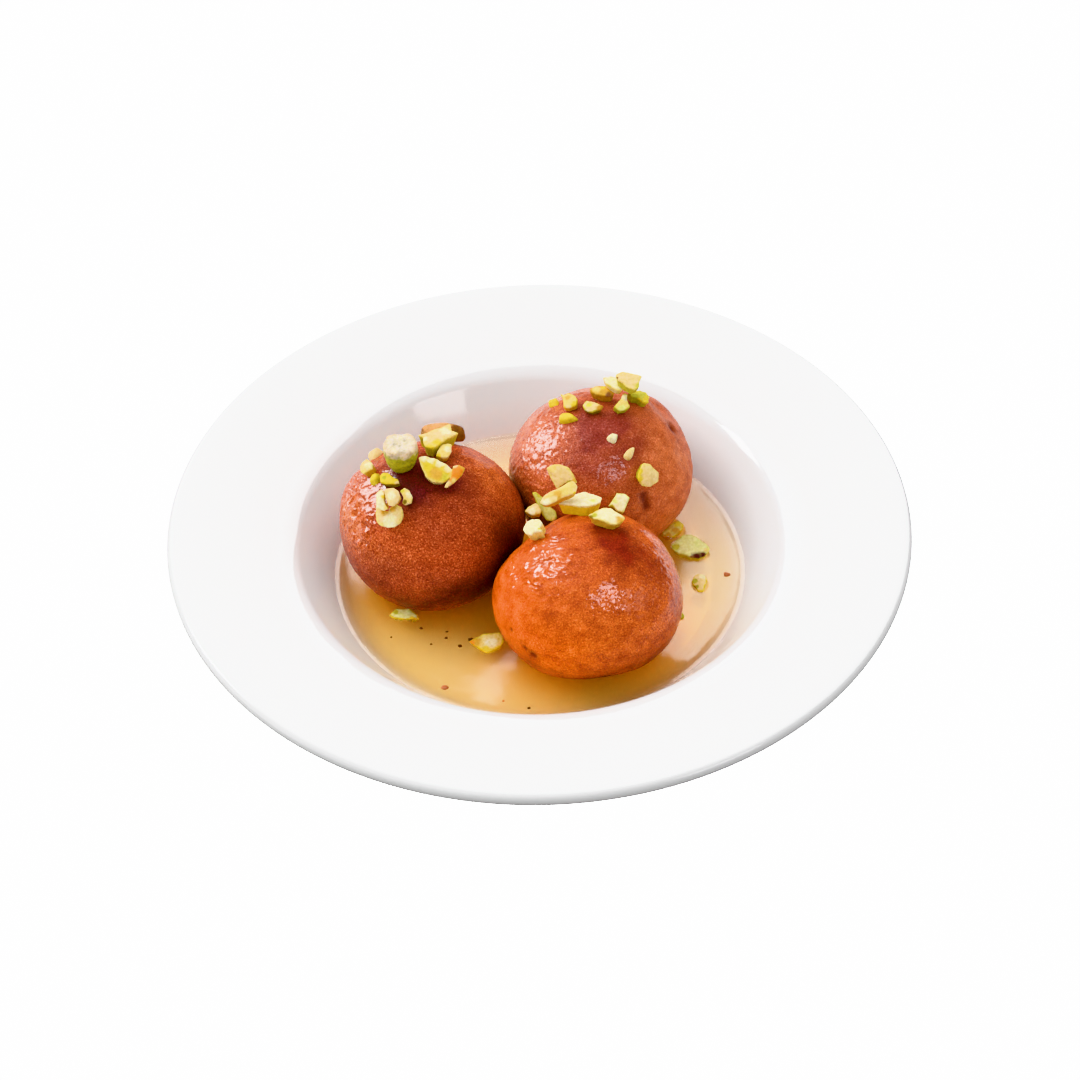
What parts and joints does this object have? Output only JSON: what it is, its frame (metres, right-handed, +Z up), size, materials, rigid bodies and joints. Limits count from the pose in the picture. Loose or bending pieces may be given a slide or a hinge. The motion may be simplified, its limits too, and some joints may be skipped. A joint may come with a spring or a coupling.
{
  "type": "gulab jamun in a soup plate",
  "caption": "Round fried milk dumplings standing in a pool of sugar syrup in a white rim soup plate, topped with chopped pistachio kernels.",
  "frame": {"origin": "middle of the plate's foot, on the table", "axes": "+Z up, +X to the right and +Y to the back of the plate as it is served"},
  "size_m": [0.2, 0.2, 0.056],
  "materials": {
    "porcelain": "glossy white glaze",
    "jamun_front": "fried orange-brown skin, wet with syrup",
    "jamun_left": "fried dark red-brown skin, granular and wet with syrup",
    "jamun_back": "fried reddish brown skin, blistered and wet with syrup",
    "syrup": "clear amber sugar syrup, still and glossy",
    "pistachio": "chopped pistachio kernel, pale yellow-green cut faces with green and purple-brown skin"
  },
  "bodies": {
    "root": {"plate": "porcelain", "jamun_front": "jamun_front", "jamun_left": "jamun_left", "jamun_back": "jamun_back", "pistachio_left_oval": "pistachio", "pistachio_left_green": "pistachio", "pistachio_left_nub": "pistachio", "pistachio_left_cube": "pistachio", "pistachio_left_chip": "pistachio", "pistachio_left_pale": "pistachio", "pistachio_left_stub": "pistachio", "pistachio_left_halfmoon": "pistachio", "pistachio_left_wedge": "pistachio", "pistachio_left_chunk": "pistachio", "pistachio_left_leaf": "pistachio", "pistachio_left_toasted": "pistachio", "pistachio_back_golden": "pistachio", "pistachio_back_rhomb": "pistachio", "pistachio_back_knob": "pistachio", "pistachio_back_fan": "pistachio", "pistachio_back_band": "pistachio", "pistachio_back_pale": "pistachio", "pistachio_back_pink": "pistachio", "pistachio_back_slope": "pistachio", "pistachio_cleft_mid": "pistachio", "pistachio_cleft_big": "pistachio", "pistachio_cleft_chunk": "pistachio", "pistachio_cleft_top": "pistachio", "pistachio_cleft_thin": "pistachio", "pistachio_cleft_right": "pistachio", "pistachio_cleft_small": "pistachio", "pistachio_cleft_strip": "pistachio", "pistachio_float_wedge": "pistachio", "pistachio_float_orange": "pistachio", "pistachio_float_ochre": "pistachio", "pistachio_float_skin": "pistachio", "pistachio_float_small": "pistachio", "syrup": "syrup"}
  },
  "joints": []
}
